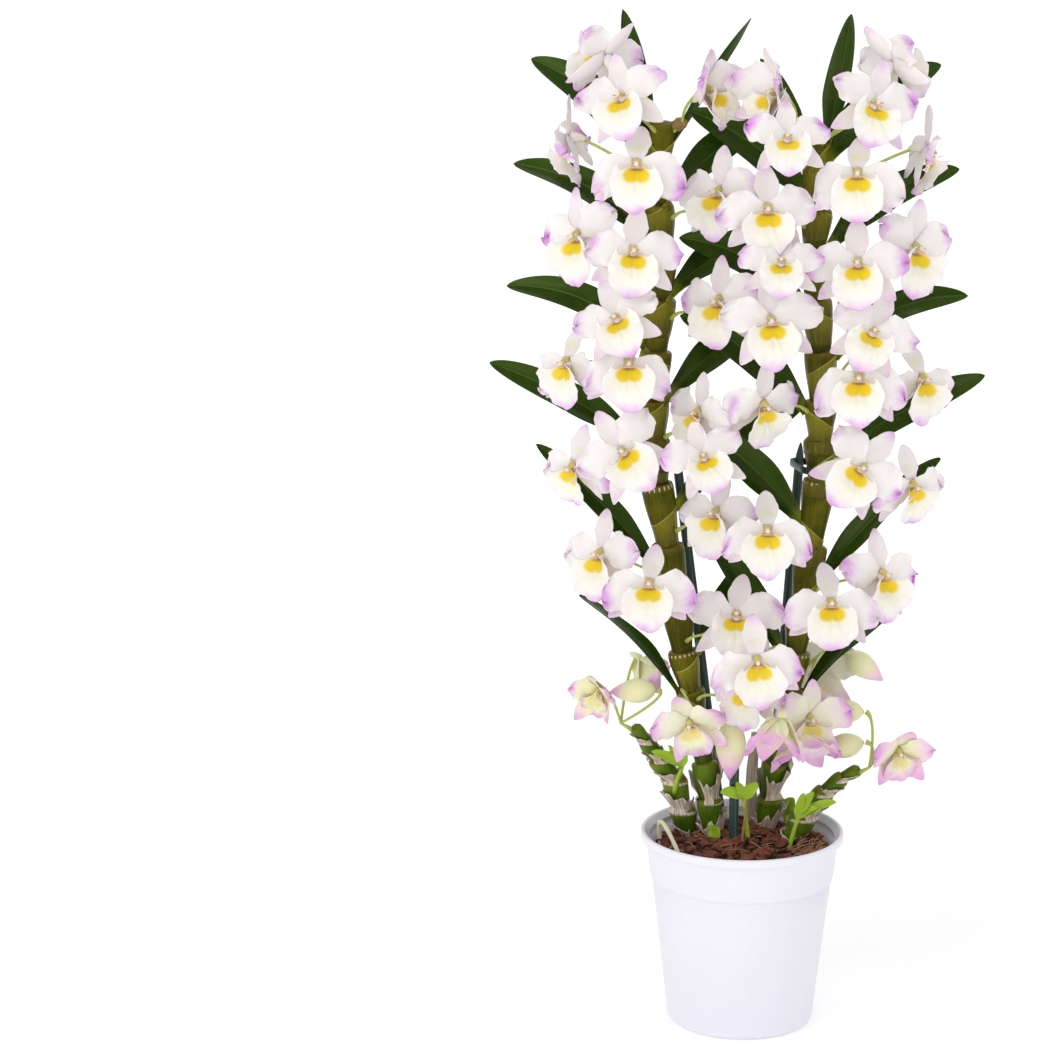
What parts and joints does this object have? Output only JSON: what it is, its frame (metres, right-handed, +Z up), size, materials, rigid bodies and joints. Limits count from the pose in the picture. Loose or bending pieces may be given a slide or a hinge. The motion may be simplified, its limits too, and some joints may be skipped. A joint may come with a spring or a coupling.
{
  "type": "potted dendrobium orchid",
  "caption": "Dendrobium orchid in flower in a white nursery pot: tall staked leafy canes with white, yellow-eyed blooms, short old canes and bark.",
  "frame": {"origin": "centre of the pot's flat underside", "axes": "+Z up along the canes; the side that shows the blooms looks towards -Y, and +X is to its right"},
  "size_m": [0.2872, 0.1301, 0.5961],
  "materials": {
    "white_plastic": "satin moulded plastic, slightly bluish white",
    "bark_brown": "dry reddish-brown orchid bark",
    "cane_green": "olive canes with glossy dark green leaves",
    "old_cane_green": "older mid-green canes with papery sheaths",
    "dry_sheath": "dry papery brown-veined sheath",
    "petal_white": "matt white petals with lilac tips and a yellow-eyed lip",
    "young_petal": "cream-green young blooms with pink tips",
    "lime_shoot": "fresh lime-green shoot",
    "stake_green": "dark green plastic-coated stake",
    "clip_black": "black moulded plastic clip",
    "root_white": "dry whitish aerial root"
  },
  "bodies": {
    "root": {"pot": "white_plastic", "bark": "bark_brown", "cane_left": "cane_green", "cane_right": "cane_green", "short_cane_left": "old_cane_green", "short_cane_right": "old_cane_green", "dry_cane": "dry_sheath", "plantlet_left": "lime_shoot", "plantlet_middle": "lime_shoot", "plantlet_right": "lime_shoot", "shoot_back": "lime_shoot", "shoot_front": "lime_shoot", "stake_left": "stake_green", "stake_right": "stake_green", "stake_front": "stake_green", "clip_left": "clip_black", "clip_right": "clip_black", "aerial_root": "root_white", "spray_left_outer_1": "petal_white", "spray_left_outer_2": "petal_white", "spray_left_outer_3": "petal_white", "spray_left_outer_4": "petal_white", "spray_left_outer_5": "petal_white", "spray_left_outer_6": "petal_white", "spray_left_inner_1": "petal_white", "spray_left_inner_2": "petal_white", "spray_left_inner_3": "petal_white", "spray_left_inner_4": "petal_white", "spray_left_inner_5": "petal_white", "spray_left_inner_6": "petal_white", "spray_right_outer_1": "petal_white", "spray_right_outer_2": "petal_white", "spray_right_outer_3": "petal_white", "spray_right_outer_4": "petal_white", "spray_right_outer_5": "petal_white", "spray_right_outer_6": "petal_white", "spray_right_inner_1": "petal_white", "spray_right_inner_2": "petal_white", "spray_right_inner_3": "petal_white", "spray_right_inner_4": "petal_white", "spray_right_inner_5": "petal_white", "spray_right_inner_6": "petal_white", "spray_low_left": "young_petal", "spray_low_front": "young_petal", "spray_low_bell": "young_petal", "spray_low_right": "young_petal", "spray_low_outer": "young_petal", "spray_low_back": "young_petal"}
  },
  "joints": []
}
